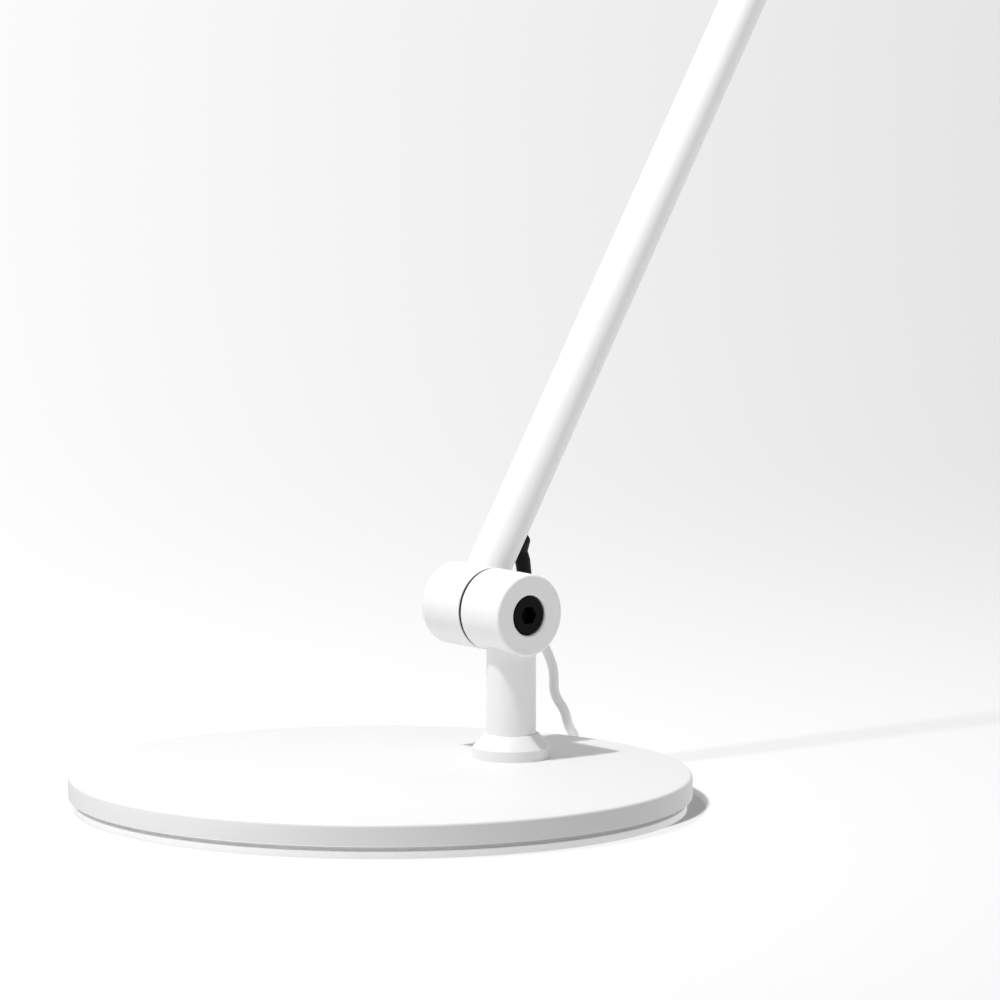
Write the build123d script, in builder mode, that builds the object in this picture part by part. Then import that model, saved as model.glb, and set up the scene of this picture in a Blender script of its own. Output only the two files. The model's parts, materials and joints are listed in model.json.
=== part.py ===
"""Architect desk lamp: weighted disc base, off-centre post, two tube arms on friction knuckles, spun shade.

Millimetres, +Z up. The origin is the centre of the base's underside, the head reaches forward to -Y,
and every tilt axis runs along X with its socket-head screw facing +X.
"""

import os
from math import atan, atan2, cos, pi, radians, sin, sqrt, tan

from build123d import *

os.makedirs("parts", exist_ok=True)

# Base
base_diameter = 225.0
disc_thickness = 8.2
disc_top_round = 1.2
disc_bottom_round = 0.6
pad_diameter = 221.0
pad_flange = 2.6
pad_neck_diameter = 215.0
pad_neck = 1.8

# Post and its swivel in the base
post_diameter = 18.0
post_setback = 60.5
pivot_height = 53.1
journal_diameter = 15.0
collar_diameter = 28.0
collar_rim = 3.9
collar_cone = 5.0
collar_top_diameter = 20.0
collar_shank_diameter = 22.0
collar_nut_diameter = 32.0
collar_nut_height = 3.0
nut_room = 4.0
thrust_washer = 0.8
retainer_diameter = 21.0
retainer_thickness = 1.2
retainer_screw_head = 2.0
retainer_screw_head_diameter = 12.0
retainer_screw_diameter = 6.0
retainer_screw_depth = 12.0

# Friction knuckle, the same at all three tilt axes
barrel_diameter = 30.0
half_length = 21.5
seam = 1.3
barrel_edge = 1.0
seam_edge = 0.4
screw_diameter = 8.0
screw_head_diameter = 14.0
screw_head_height = 8.0
screw_recess = 0.6
screw_bevel = 0.4
socket_width = 6.0
socket_depth = 4.0
counterbore_diameter = 14.8
counterbore_bevel = 0.5
spring_diameter = 13.4
spring_thickness = 0.8
spring_cone = 0.3
friction_disc_diameter = 29.2
nut_width = 13.0
nut_height = 6.0
nut_collar_diameter = 12.0
nut_collar = 2.0
nut_recess = 2.5
screw_end = 1.0
spigot_length = 10.0
spigot_bore = 4.2

# Arms
arm_diameter = 16.0
arm_wall = 1.5
lower_arm_length = 380.0
lower_lean = 31.0
upper_arm_length = 340.0
upper_rise = 18.0

# Head
stem_length = 31.0
stem_seat = 8.0
cap_top_diameter = 52.0
cap_bottom_diameter = 56.0
cap_height = 24.0
cap_round = 3.0
shade_shoulder_diameter = 64.0
shade_mouth_diameter = 150.0
shade_height = 88.0
shade_wall = 1.5
shade_shoulder_round = 10.0
shade_bead = 4.0
shade_hole_diameter = 12.0
sink_core_diameter = 26.0
sink_fin_diameter = 46.0
sink_fin_thickness = 2.4
sink_fins = 12
sink_height = 14.0
sink_flange_diameter = 61.0
sink_flange = 2.5
board_diameter = 56.0
board_thickness = 1.6
chip_size = 3.5
chip_height = 0.7
chip_ring = 17.0
chips = 8
diffuser_wall = 2.0
diffuser_height = 17.0
diffuser_dome = 2.0
head_screws = 3
head_screw_ring = 9.0
head_screw_bearing = 90.0
head_screw_diameter = 4.0
head_screw_head_diameter = 7.0
head_screw_head = 3.0
head_screw_grip = 10.0
button_offset = 16.5
button_diameter = 10.0
button_proud = 2.5
button_flange_diameter = 11.6
button_flange = 1.5
button_lip = 3.0
button_travel = 1.6
switch_diameter = 12.0
switch_height = 15.0
plunger_diameter = 5.0

# Supply lead; each bend is its bearing from the rear, its distance beyond the rim and its height
lead_diameter = 3.5
relief_height = 29.8
relief_head_diameter = 7.4
relief_neck_diameter = 4.6
relief_neck_drop = 3.7
relief_sleeve_diameter = 5.6
relief_sleeve_drop = 7.0
relief_end_diameter = 5.0
relief_length = 17.0
relief_stand = 0.5
relief_shank_diameter = 5.0
relief_angle = 9.0
relief_run = 12.0
lead_bends = [
    (14.0, -12.4, 45.0),
    (13.6, -9.2, 37.0),
    (14.8, -6.9, 28.5),
    (14.3, -0.8, 21.5),
    (15.3, 3.4, 15.5),
    (16.2, 12.5, 8.0),
    (20.9, 17.2, 3.6),
]
bend_share = 0.45
hank_lead_in = 10.0
hank_run = 60.0
hank_inner = 7.0
hank_pitch = 3.92
hank_lift = 0.4
hank_azimuth = 50.6
hank_gap = 0.5
tie_width = 9.0
tie_thickness = 0.3
tie_gap = 0.08
plug_diameter = 9.0
plug_length = 24.0
plug_relief_length = 12.0
plug_relief_diameter = 6.4
plug_right = -55.0
plug_rim_gap = 1.5
plug_lead_in = 9.0
plug_tip_diameter = 5.5
plug_tip_length = 9.5
plug_tip_bore = 2.1

# Clearances, on the radius or along the axis
running_fit = 0.05
sliding_fit = 0.08
tube_fit = 0.05
thread_fit = 0.05
seat_gap = 0.3
washer_room = 0.1

# Places
pad_height = pad_flange + pad_neck
disc_top = pad_height + disc_thickness
barrel_radius = barrel_diameter / 2
nut_x = -(half_length + seam)
arm_bore = arm_diameter - 2 * arm_wall
spigot_diameter = arm_bore - 2 * tube_fit
spring_stack = 2 * (spring_thickness + spring_cone)
counterbore_depth = screw_recess + screw_head_height + spring_stack
nut_total = nut_height + nut_collar
lower_direction = Vector(0, sin(radians(lower_lean)), cos(radians(lower_lean)))
upper_direction = Vector(0, -cos(radians(upper_rise)), sin(radians(upper_rise)))
down = Vector(0, 0, -1)
nut_shift = Vector(nut_x, 0, 0)
lower_axis = Vector(0, post_setback, disc_top + pivot_height)
elbow_axis = lower_axis + lower_direction * lower_arm_length
head_axis = elbow_axis + upper_direction * upper_arm_length
post_axis = Axis((0, post_setback, 0), (0, 0, 1))
head_centre = head_axis + nut_shift
head_upright = Axis(head_centre, (0, 0, 1))


def save(builder, name):
    """Label the finished piece and write it."""
    builder.part.label = name
    export_step(builder.part, f"parts/{name}.step")


def upright_section(origin):
    """Plane through origin for a section turned about the vertical: x is the radius, y the height."""
    return Plane(origin=origin, x_dir=(1, 0, 0), z_dir=(0, -1, 0))


def face_up(origin):
    """Level plane at origin."""
    return Plane(origin=origin, x_dir=(1, 0, 0), z_dir=(0, 0, 1))


def face_out(origin):
    """Plane square to the tilt axes at origin, facing +X, with its own x forward along Y."""
    return Plane(origin=origin, x_dir=(0, 1, 0), z_dir=(1, 0, 0))


def face_along(origin, direction):
    """Plane square to an arm direction at origin, with its own x along X."""
    return Plane(origin=origin, x_dir=(1, 0, 0), z_dir=direction)


# Base: steel disc on a soft pad, with the socket of the post set towards the rear
post_foot = Vector(0, post_setback, 0)
shank_bottom = pad_height + nut_room - collar_nut_height - washer_room
with BuildPart() as base_disc:
    with BuildSketch(Plane.XY.offset(pad_height)):
        Circle(base_diameter / 2)
    extrude(amount=disc_thickness)
    fillet(base_disc.edges().group_by(Axis.Z)[-1], disc_top_round)
    fillet(base_disc.edges().group_by(Axis.Z)[0], disc_bottom_round)
    with BuildSketch(Plane.XY.offset(pad_height)):
        with Locations((0, post_setback)):
            Circle(collar_shank_diameter / 2 + tube_fit)
    extrude(amount=disc_thickness, mode=Mode.SUBTRACT)
    with BuildSketch(Plane.XY.offset(pad_height)):
        with Locations((0, post_setback)):
            Circle(collar_nut_diameter / 2 + seat_gap)
    extrude(amount=nut_room, mode=Mode.SUBTRACT)
save(base_disc, "base_disc")

with BuildPart() as base_pad:
    with BuildSketch():
        Circle(pad_diameter / 2)
    extrude(amount=pad_flange)
    with BuildSketch(Plane.XY.offset(pad_flange)):
        Circle(pad_neck_diameter / 2)
    extrude(amount=pad_neck)
    with BuildSketch():
        with Locations((0, post_setback)):
            Circle(collar_nut_diameter / 2 + seat_gap)
    extrude(amount=pad_height, mode=Mode.SUBTRACT)
save(base_pad, "base_pad")

# Collar: conical flange on the disc, its threaded shank drawn down by a ring nut below
collar_bore = journal_diameter / 2 + running_fit
collar_top = disc_top + collar_rim + collar_cone
with BuildPart() as foot_collar:
    with BuildSketch(upright_section(post_foot)):
        with BuildLine():
            Polyline(
                (collar_bore, shank_bottom),
                (collar_shank_diameter / 2, shank_bottom),
                (collar_shank_diameter / 2, disc_top),
                (collar_diameter / 2, disc_top),
                (collar_diameter / 2, disc_top + collar_rim),
                (collar_top_diameter / 2, collar_top),
                (collar_bore, collar_top),
                close=True,
            )
        make_face()
    revolve(axis=post_axis)
save(foot_collar, "foot_collar")

with BuildPart() as collar_nut:
    with BuildSketch(face_up(post_foot + Vector(0, 0, pad_height + nut_room))):
        Circle(collar_nut_diameter / 2)
        Circle(collar_shank_diameter / 2 + thread_fit, mode=Mode.SUBTRACT)
    extrude(amount=-collar_nut_height)
save(collar_nut, "collar_nut")

# Post: turned bar whose journal runs in the collar, shouldered on a thrust washer
shoulder = collar_top + thrust_washer
retainer_top = shank_bottom - washer_room
post_bore_depth = barrel_radius + spigot_length + seat_gap
with BuildPart() as swivel_washer:
    with BuildSketch(face_up(post_foot + Vector(0, 0, collar_top + running_fit))):
        Circle(post_diameter / 2)
        Circle(journal_diameter / 2 + running_fit, mode=Mode.SUBTRACT)
    extrude(amount=thrust_washer - running_fit)
save(swivel_washer, "swivel_washer")

with BuildPart() as post:
    with BuildSketch(face_up(post_foot + Vector(0, 0, shoulder))):
        Circle(post_diameter / 2)
    extrude(amount=lower_axis.Z - shoulder)
    with BuildSketch(face_up(post_foot + Vector(0, 0, retainer_top))):
        Circle(journal_diameter / 2)
    extrude(amount=shoulder - retainer_top)
    with BuildSketch(face_up(post_foot + Vector(0, 0, retainer_top))):
        Circle(retainer_screw_diameter / 2 + thread_fit)
    extrude(amount=retainer_screw_depth + seat_gap, mode=Mode.SUBTRACT)
    with BuildSketch(face_up(lower_axis)):
        Circle(arm_bore / 2)
    extrude(amount=-post_bore_depth, mode=Mode.SUBTRACT)
    with BuildSketch(face_out(lower_axis)):
        Circle(barrel_radius + tube_fit)
    extrude(amount=post_diameter, both=True, mode=Mode.SUBTRACT)
save(post, "post")

with BuildPart() as retaining_washer:
    with BuildSketch(face_up(post_foot + Vector(0, 0, retainer_top))):
        Circle(retainer_diameter / 2)
        Circle(retainer_screw_diameter / 2 + running_fit, mode=Mode.SUBTRACT)
    extrude(amount=-retainer_thickness)
save(retaining_washer, "retaining_washer")

retainer_seat = post_foot + Vector(0, 0, retainer_top - retainer_thickness)
with BuildPart() as retaining_screw:
    with BuildSketch(face_up(retainer_seat)):
        Circle(retainer_screw_head_diameter / 2)
    extrude(amount=-retainer_screw_head)
    with BuildSketch(face_up(retainer_seat)):
        Circle(retainer_screw_diameter / 2)
    extrude(amount=retainer_thickness + retainer_screw_depth)
save(retaining_screw, "retaining_screw")


def barrel_half(at, toward, side):
    """Cast half of a knuckle about at with a spigot for a tube: side 1 has the screw head, -1 the nut."""
    seam_x = -side * half_length / 2
    end_x = side * half_length / 2
    bore = screw_diameter / 2 + running_fit
    end_face = face_out(at + Vector(end_x, 0, 0))
    root = counterbore_diameter / 2 + seat_gap
    with BuildPart() as half:
        with BuildSketch(upright_section(at)) as section:
            with BuildLine():
                Polyline(
                    (seam_x, bore),
                    (seam_x, barrel_radius),
                    (end_x, barrel_radius),
                    (end_x, bore),
                    close=True,
                )
            make_face()
            rim = section.vertices().group_by(Axis.Y)[-1].sort_by(Axis.X)
            fillet(rim[-1 if side > 0 else 0], barrel_edge)
            rim = section.vertices().group_by(Axis.Y)[-1].sort_by(Axis.X)
            fillet(rim[0 if side > 0 else -1], seam_edge)
        revolve(axis=Axis(at, (1, 0, 0)))
        with BuildSketch(face_along(at + toward * root, toward)):
            Circle(spigot_diameter / 2)
        extrude(amount=barrel_radius + spigot_length - root)
        with BuildSketch(face_along(at + toward * (barrel_radius + spigot_length), toward)):
            Circle(spigot_bore / 2)
        extrude(amount=-spigot_length, mode=Mode.SUBTRACT)
        with BuildSketch(end_face):
            if side > 0:
                Circle(counterbore_diameter / 2)
            else:
                RegularPolygon(nut_width / 2 + seat_gap / 2, 6, major_radius=False)
        depth = counterbore_depth if side > 0 else nut_recess + nut_total
        extrude(amount=-side * depth, mode=Mode.SUBTRACT)
        if side > 0:
            mouth = half.faces().sort_by(Axis.X)[-1].edges().sort_by(SortBy.RADIUS)[0]
            chamfer(mouth, counterbore_bevel)
    return half


def cap_screw(at):
    """Socket-head cap screw on the axis through at, its head in the screw half, its end past the nut."""
    top = half_length / 2 - screw_recess
    seat = top - screw_head_height
    end = nut_x - half_length / 2 + nut_recess - screw_end
    with BuildPart() as screw:
        with BuildSketch(face_out(at + Vector(seat, 0, 0))):
            Circle(screw_head_diameter / 2)
        extrude(amount=screw_head_height)
        chamfer(screw.edges().sort_by(Axis.X)[-1], screw_bevel)
        with BuildSketch(face_out(at + Vector(seat, 0, 0))):
            Circle(screw_diameter / 2)
        extrude(amount=end - seat)
        with BuildSketch(face_out(at + Vector(top, 0, 0))):
            RegularPolygon(socket_width / 2, 6, major_radius=False)
        extrude(amount=-socket_depth, mode=Mode.SUBTRACT)
    return screw


def disc_springs(at):
    """Two coned spring washers face to face under the screw head."""
    inner = screw_diameter / 2 + running_fit
    outer = spring_diameter / 2
    seat = half_length / 2 - counterbore_depth + running_fit
    crest = seat + spring_thickness + spring_cone
    far = seat + spring_stack - running_fit
    gap = running_fit / 2
    with BuildPart() as springs:
        with BuildSketch(upright_section(at)):
            with BuildLine():
                Polyline(
                    (seat, outer),
                    (seat + spring_thickness, outer),
                    (crest - gap, inner),
                    (crest - gap - spring_thickness, inner),
                    close=True,
                )
            make_face()
            with BuildLine():
                Polyline(
                    (crest + gap, inner),
                    (crest + gap + spring_thickness - running_fit, inner),
                    (far, outer),
                    (far - spring_thickness + running_fit, outer),
                    close=True,
                )
            make_face()
        revolve(axis=Axis(at, (1, 0, 0)))
    return springs


def friction_disc(at):
    """Fibre disc in the seam, seen as the dark line between the halves."""
    with BuildPart() as disc:
        with BuildSketch(face_out(at + Vector(-half_length / 2, 0, 0))):
            Circle(friction_disc_diameter / 2)
            Circle(screw_diameter / 2 + running_fit, mode=Mode.SUBTRACT)
        extrude(amount=-(seam - running_fit))
    return disc


def lock_nut(at):
    """Hexagon lock nut with its round collar outwards, in the hexagon pocket of the nut half."""
    outer = nut_x - half_length / 2 + nut_recess
    bore = screw_diameter / 2 + thread_fit
    with BuildPart() as nut:
        with BuildSketch(face_out(at + Vector(outer + nut_collar, 0, 0))):
            RegularPolygon(nut_width / 2, 6, major_radius=False)
            Circle(bore, mode=Mode.SUBTRACT)
        extrude(amount=nut_height)
        with BuildSketch(face_out(at + Vector(outer, 0, 0))):
            Circle(nut_collar_diameter / 2)
            Circle(bore, mode=Mode.SUBTRACT)
        extrude(amount=nut_collar)
    return nut


# Knuckles: at each the screw half lies over the post's plane and the nut half beside it
knuckles = {
    "lower": (lower_axis, down, lower_direction),
    "elbow": (elbow_axis, upper_direction, -lower_direction),
    "head": (head_axis, -upper_direction, down),
}
for knuckle, (at, screw_side, nut_side) in knuckles.items():
    save(barrel_half(at, screw_side, 1), f"{knuckle}_screw_half")
    save(barrel_half(at + nut_shift, nut_side, -1), f"{knuckle}_nut_half")
    save(cap_screw(at), f"{knuckle}_cap_screw")
    save(disc_springs(at), f"{knuckle}_disc_springs")
    save(friction_disc(at), f"{knuckle}_friction_disc")
    save(lock_nut(at), f"{knuckle}_lock_nut")


def arm_tube(start, finish, direction):
    """Drawn tube between two barrels, its ends coped round them."""
    length = (finish - start).length
    with BuildPart() as tube:
        with BuildSketch(face_along(start, direction)):
            Circle(arm_diameter / 2)
            Circle(arm_bore / 2, mode=Mode.SUBTRACT)
        extrude(amount=length)
        for end in (start, finish):
            with BuildSketch(face_out(end)):
                Circle(barrel_radius + tube_fit)
            extrude(amount=arm_diameter, both=True, mode=Mode.SUBTRACT)
    return tube


# Arms: the lower one has a hole at the rear of its foot for the lead
lower_foot = lower_axis + nut_shift
rearward = Vector(0, cos(radians(lower_lean)), -sin(radians(lower_lean)))
relief_root = lower_foot + lower_direction * relief_height
lower_arm = arm_tube(lower_foot, elbow_axis + nut_shift, lower_direction)
with BuildPart() as lower_arm_tube:
    add(lower_arm.part)
    with BuildSketch(face_along(relief_root, rearward)):
        Circle(relief_shank_diameter / 2 + tube_fit)
    extrude(amount=arm_diameter, mode=Mode.SUBTRACT)
save(lower_arm_tube, "lower_arm_tube")
save(arm_tube(elbow_axis, head_axis, upper_direction), "upper_arm_tube")


def inner_lead(start, direction, length):
    """Straight lead inside a tube."""
    with BuildPart() as lead:
        with BuildSketch(face_along(start, direction)):
            Circle(lead_diameter / 2)
        extrude(amount=length)
    return lead


# Leads inside the arms reach into the spigots at their ends
spigot_reach = barrel_radius + spigot_length / 2
lower_lead_start = relief_height - lead_diameter
lower_lead_length = lower_arm_length - lower_lead_start - spigot_reach
upper_lead_length = upper_arm_length - 2 * spigot_reach
save(
    inner_lead(lower_foot + lower_direction * lower_lead_start, lower_direction, lower_lead_length),
    "lower_inner_lead",
)
save(
    inner_lead(elbow_axis + upper_direction * spigot_reach, upper_direction, upper_lead_length),
    "upper_inner_lead",
)

# Head stem and cap: the cap carries the shade, the light engine and the push switch
stem_bottom = -(barrel_radius + stem_length)
cap_top = stem_bottom + stem_seat
cap_bottom = cap_top - cap_height
with BuildPart() as head_stem:
    with BuildSketch(face_up(head_centre)):
        Circle(arm_diameter / 2)
        Circle(arm_bore / 2, mode=Mode.SUBTRACT)
    extrude(amount=stem_bottom)
    with BuildSketch(face_out(head_centre)):
        Circle(barrel_radius + tube_fit)
    extrude(amount=arm_diameter, both=True, mode=Mode.SUBTRACT)
save(head_stem, "head_stem")

cap_plane = face_up(head_centre + Vector(0, 0, cap_top))
cap_base = face_up(head_centre + Vector(0, 0, cap_bottom))
with BuildPart() as shade_cap:
    with BuildSketch(upright_section(head_centre)) as section:
        with BuildLine():
            Polyline(
                (0, cap_top),
                (cap_top_diameter / 2, cap_top),
                (cap_bottom_diameter / 2, cap_bottom),
                (0, cap_bottom),
                close=True,
            )
        make_face()
        fillet(section.vertices().group_by(Axis.Y)[-1].sort_by(Axis.X)[-1], cap_round)
    revolve(axis=head_upright)
    with BuildSketch(cap_plane):
        Circle(arm_diameter / 2 + tube_fit)
    extrude(amount=-stem_seat, mode=Mode.SUBTRACT)
    with BuildSketch(cap_plane):
        Circle(spigot_bore / 2)
    extrude(amount=-cap_height, mode=Mode.SUBTRACT)
    with BuildSketch(cap_plane):
        with Locations((0, -button_offset)):
            Circle(button_diameter / 2 + sliding_fit)
    extrude(amount=-button_lip, mode=Mode.SUBTRACT)
    with BuildSketch(cap_base):
        with Locations((0, -button_offset)):
            Circle(switch_diameter / 2 + tube_fit)
    extrude(amount=cap_height - button_lip, mode=Mode.SUBTRACT)
    with BuildSketch(cap_base):
        with PolarLocations(head_screw_ring, head_screws, start_angle=head_screw_bearing):
            Circle(head_screw_diameter / 2 + thread_fit)
    extrude(amount=head_screw_grip + seat_gap, mode=Mode.SUBTRACT)
save(shade_cap, "shade_cap")

# Shade: spun cone with a rounded shoulder and a beaded mouth
flare = atan((shade_mouth_diameter - shade_shoulder_diameter) / 2 / shade_height)
inner_top = cap_bottom - shade_wall
mouth = cap_bottom - shade_height
wall_out = shade_wall / cos(flare)
inner_shoulder = shade_shoulder_diameter / 2 + shade_wall * tan(flare) - wall_out
bead_radius = shade_bead / 2
with BuildPart() as shade:
    with BuildSketch(upright_section(head_centre)) as section:
        with BuildLine():
            Polyline(
                (0, cap_bottom),
                (shade_shoulder_diameter / 2, cap_bottom),
                (shade_mouth_diameter / 2, mouth),
                (0, mouth),
                close=True,
            )
        make_face()
        fillet(section.vertices().group_by(Axis.Y)[-1].sort_by(Axis.X)[-1], shade_shoulder_round)
        with BuildSketch(mode=Mode.SUBTRACT) as inside:
            with BuildLine():
                Polyline(
                    (0, inner_top),
                    (inner_shoulder, inner_top),
                    (shade_mouth_diameter / 2 - wall_out, mouth),
                    (0, mouth),
                    close=True,
                )
            make_face()
            corner = inside.vertices().group_by(Axis.Y)[-1].sort_by(Axis.X)[-1]
            fillet(corner, shade_shoulder_round - shade_wall)
        with Locations((shade_mouth_diameter / 2 - bead_radius, mouth)):
            Circle(bead_radius)
    revolve(axis=head_upright)
    with BuildSketch(cap_base):
        Circle(shade_hole_diameter / 2)
        with PolarLocations(head_screw_ring, head_screws, start_angle=head_screw_bearing):
            Circle(head_screw_diameter / 2 + tube_fit)
    extrude(amount=-shade_wall, mode=Mode.SUBTRACT)
save(shade, "shade")

# Light engine: finned sink under the shade's top, board with its emitters, opal cup
flange_top = inner_top - sink_height + sink_flange
sink_bottom = inner_top - sink_height
sink_base = face_up(head_centre + Vector(0, 0, sink_bottom))
sink_face = face_up(head_centre + Vector(0, 0, inner_top))
with BuildPart() as heat_sink:
    with BuildSketch(sink_base):
        Circle(sink_flange_diameter / 2)
    extrude(amount=sink_flange)
    with BuildSketch(sink_face):
        Circle(sink_core_diameter / 2)
        with PolarLocations(sink_fin_diameter / 4, sink_fins):
            Rectangle(sink_fin_diameter / 2, sink_fin_thickness)
    extrude(amount=flange_top - inner_top)
    with BuildSketch(sink_face):
        Circle(spigot_bore / 2)
        with PolarLocations(head_screw_ring, head_screws, start_angle=head_screw_bearing):
            Circle(head_screw_diameter / 2 + tube_fit)
    extrude(amount=-sink_height, mode=Mode.SUBTRACT)
    with BuildSketch(sink_base):
        with PolarLocations(head_screw_ring, head_screws, start_angle=head_screw_bearing):
            Circle(head_screw_head_diameter / 2 + seat_gap)
    extrude(amount=head_screw_head, mode=Mode.SUBTRACT)
save(heat_sink, "heat_sink")

with BuildPart() as mounting_screws:
    with BuildSketch(sink_base):
        with PolarLocations(head_screw_ring, head_screws, start_angle=head_screw_bearing):
            Circle(head_screw_head_diameter / 2)
    extrude(amount=head_screw_head)
    with BuildSketch(sink_base):
        with PolarLocations(head_screw_ring, head_screws, start_angle=head_screw_bearing):
            Circle(head_screw_diameter / 2)
    extrude(amount=sink_height + shade_wall + head_screw_grip)
save(mounting_screws, "mounting_screws")

board_bottom = sink_bottom - board_thickness
with BuildPart() as led_board:
    with BuildSketch(sink_base):
        Circle(board_diameter / 2)
    extrude(amount=-board_thickness)
save(led_board, "led_board")

with BuildPart() as led_chips:
    with BuildSketch(face_up(head_centre + Vector(0, 0, board_bottom))):
        with PolarLocations(chip_ring, chips):
            Rectangle(chip_size, chip_size)
        Rectangle(chip_size, chip_size)
    extrude(amount=-chip_height)
save(led_chips, "led_chips")

cup_inner = sink_flange_diameter / 2 + seat_gap
cup_outer = cup_inner + diffuser_wall
cup_bottom = flange_top - diffuser_height
with BuildPart() as diffuser:
    with BuildSketch(upright_section(head_centre)):
        with BuildLine():
            Polyline(
                (0, cup_bottom - diffuser_dome),
                (0, cup_bottom + diffuser_wall),
                (cup_inner, cup_bottom + diffuser_wall),
                (cup_inner, flange_top),
                (cup_outer, flange_top),
                (cup_outer, cup_bottom),
            )
            TangentArc((0, cup_bottom - diffuser_dome), (cup_outer, cup_bottom), tangent=(1, 0))
        make_face()
    revolve(axis=head_upright)
save(diffuser, "diffuser")

head_lead_top = -spigot_reach
head_lead_length = head_lead_top - sink_bottom - seat_gap
save(inner_lead(head_centre + down * spigot_reach, down, head_lead_length), "head_inner_lead")

# Push switch in the cap: the button's flange is held under the lip, the switch stands on the shade
button_place = head_centre + Vector(0, -button_offset, 0)
lip_bottom = cap_top - button_lip
flange_bottom = lip_bottom - sliding_fit - button_flange
with BuildPart() as switch_button:
    with BuildSketch(face_up(button_place + Vector(0, 0, cap_top + button_proud))):
        Circle(button_diameter / 2)
    extrude(amount=flange_bottom - cap_top - button_proud)
    with BuildSketch(face_up(button_place + Vector(0, 0, flange_bottom))):
        Circle(button_flange_diameter / 2)
    extrude(amount=button_flange)
    fillet(switch_button.edges().sort_by(Axis.Z)[-1], button_flange / 2)
save(switch_button, "switch_button")

plunger_top = flange_bottom - button_travel - seat_gap
with BuildPart() as switch_body:
    with BuildSketch(face_up(button_place + Vector(0, 0, cap_bottom))):
        Circle(switch_diameter / 2)
    extrude(amount=switch_height)
    with BuildSketch(face_up(button_place + Vector(0, 0, cap_bottom))):
        Circle(plunger_diameter / 2)
    extrude(amount=plunger_top - cap_bottom)
save(switch_body, "switch_body")

# Strain relief: moulded elbow at the rear of the lower arm's foot, its sleeve pointing down
relief_down = Vector(0, sin(radians(relief_angle)), -cos(radians(relief_angle)))
relief_centre = relief_root + rearward * (arm_diameter / 2 + relief_stand)
relief_side = Vector(0, cos(radians(relief_angle)), sin(radians(relief_angle)))
with BuildPart() as strain_relief:
    with BuildSketch(Plane(origin=relief_centre, x_dir=relief_side, z_dir=(1, 0, 0))):
        with BuildLine():
            head_top = (0, relief_head_diameter / 2)
            head_side = (relief_head_diameter / 2, 0)
            diagonal = relief_head_diameter / 2 / sqrt(2)
            ThreePointArc(head_top, (diagonal, diagonal), head_side)
            Polyline(
                head_side,
                (relief_neck_diameter / 2, -relief_neck_drop),
                (relief_sleeve_diameter / 2, -relief_sleeve_drop),
                (relief_end_diameter / 2, -relief_length),
                (0, -relief_length),
                head_top,
            )
        make_face()
    revolve(axis=Axis(relief_centre, relief_down))
    with BuildSketch(face_along(lower_foot, lower_direction)):
        Circle(arm_diameter / 2 + tube_fit)
    extrude(amount=lower_arm_length, mode=Mode.SUBTRACT)
    with BuildSketch(face_along(relief_root + rearward * (lead_diameter / 2 + seat_gap), rearward)):
        Circle(relief_shank_diameter / 2)
    extrude(amount=arm_diameter / 2 + relief_stand - lead_diameter / 2 - seat_gap)
save(strain_relief, "strain_relief")

# Supply lead, dropping from the relief behind the base's rear edge and along it to the tied hank
hank_right = Vector(cos(radians(hank_azimuth)), sin(radians(hank_azimuth)), 0)
hank_away = Vector(-sin(radians(hank_azimuth)), cos(radians(hank_azimuth)), 0)
hank_outer = hank_inner + hank_pitch
hank_depth = base_diameter / 2 + hank_gap + lead_diameter / 2 + hank_outer
hank_low = hank_lift + lead_diameter / 2
hank_high = hank_low + hank_pitch


def rear_point(right, away, height):
    """Point behind the base: right along the hank, away from the base's centre."""
    return hank_right * right + hank_away * away + Vector(0, 0, height)


def rim_point(bearing, beyond, height):
    """Point beyond the base's rim, its bearing taken from the rear towards -X."""
    reach = base_diameter / 2 + beyond
    return Vector(-sin(radians(bearing)) * reach, cos(radians(bearing)) * reach, height)


def hank_point(along, across, height):
    """Point of the hank: along its runs to the right, across them away from the base."""
    return rear_point(along, hank_depth + across, height)


relief_tip = relief_centre + relief_down * relief_length
hank_start = hank_point(hank_run / 2, -hank_outer, hank_low)
lead_route = [
    relief_tip,
    relief_tip + relief_down * relief_run,
    *[rim_point(*bend) for bend in lead_bends],
    hank_start + hank_right * hank_lead_in,
    hank_start,
]


def tube_radii(route):
    """Largest tangent arcs that the runs beside each corner leave room for."""
    radii = []
    for before, corner, after in zip(route, route[1:], route[2:]):
        turn = radians((corner - before).get_angle(after - corner))
        shorter = min((corner - before).length, (after - corner).length)
        radii.append(bend_share * shorter / tan(turn / 2))
    return radii


def lead_tube(route):
    """Round lead along straight runs joined by tangent arcs."""
    radii = tube_radii(route)
    with BuildPart() as tube:
        with BuildLine() as path:
            FilletPolyline(*route, radius=radii)
        way = path.wire()
        with BuildSketch(Plane(origin=way @ 0, z_dir=way % 0)):
            Circle(lead_diameter / 2)
        sweep(path=way)
    section = pi * lead_diameter**2 / 4
    print("lead radii", [round(radius, 1) for radius in radii])
    share = tube.part.volume / section / way.length
    print("lead length", round(way.length, 1), "volume share", round(share, 4))
    return tube


save(lead_tube(lead_route), "lead_drop")

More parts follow.
